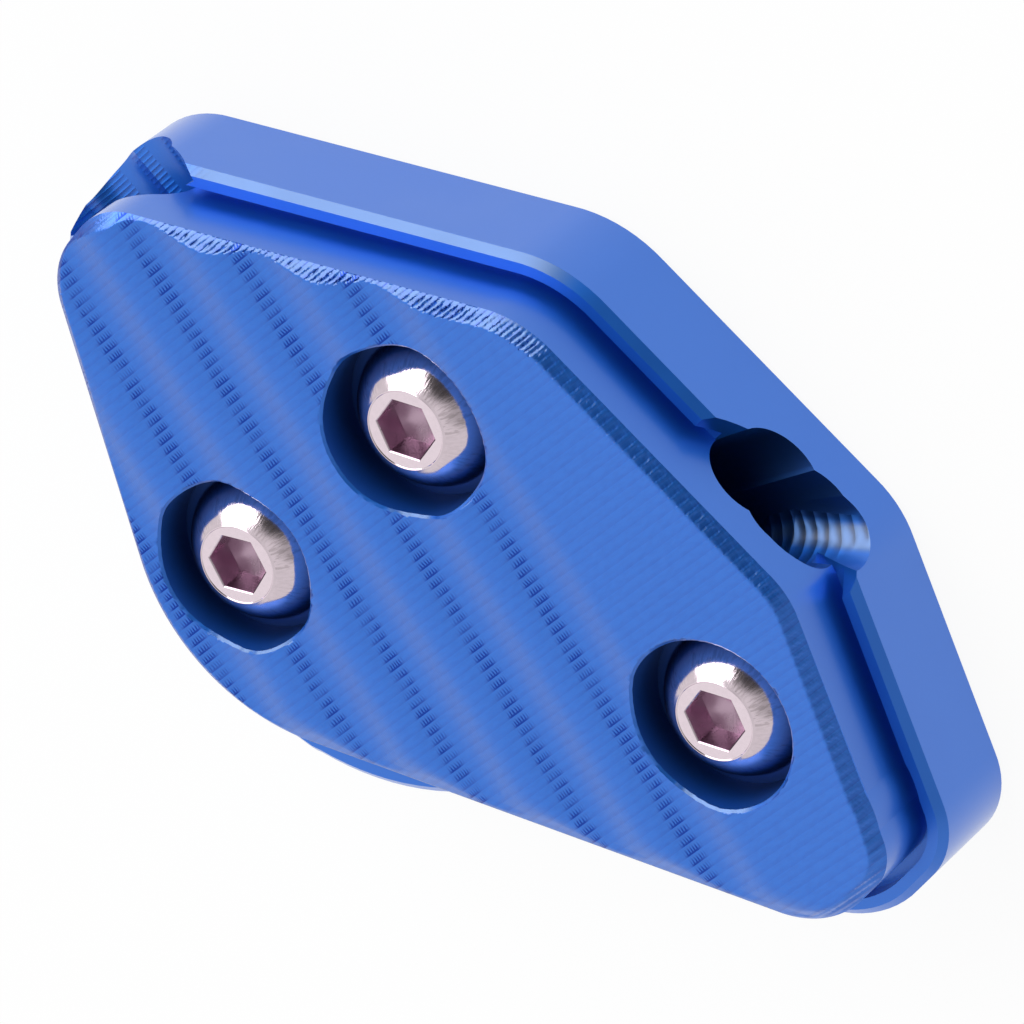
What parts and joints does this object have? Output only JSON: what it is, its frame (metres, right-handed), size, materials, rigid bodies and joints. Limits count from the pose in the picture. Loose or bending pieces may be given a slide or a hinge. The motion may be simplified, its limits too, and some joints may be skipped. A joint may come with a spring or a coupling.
{
  "type": "kickstand foot enlarger",
  "caption": "Clamp-on kickstand foot enlarger: two blue anodised halves with a waved face, grooved for a bent stand foot and held by button-head screws",
  "frame": {"origin": "middle of the flat back, at the centre of the base's outline", "axes": "+Z out of the flat back towards the waved face, +X along the length towards the end without a groove mouth, +Y towards the straight upper edge that the groove's right mouth opens on"},
  "size_m": [0.0945, 0.0608, 0.0177],
  "materials": {
    "blue_anodised": "satin blue anodising",
    "polished_steel": "polished"
  },
  "bodies": {
    "root": {"base_body": "blue_anodised", "clamp_plate": "blue_anodised", "screw_upper": "polished_steel", "screw_lower": "polished_steel", "screw_right": "polished_steel"}
  },
  "joints": []
}
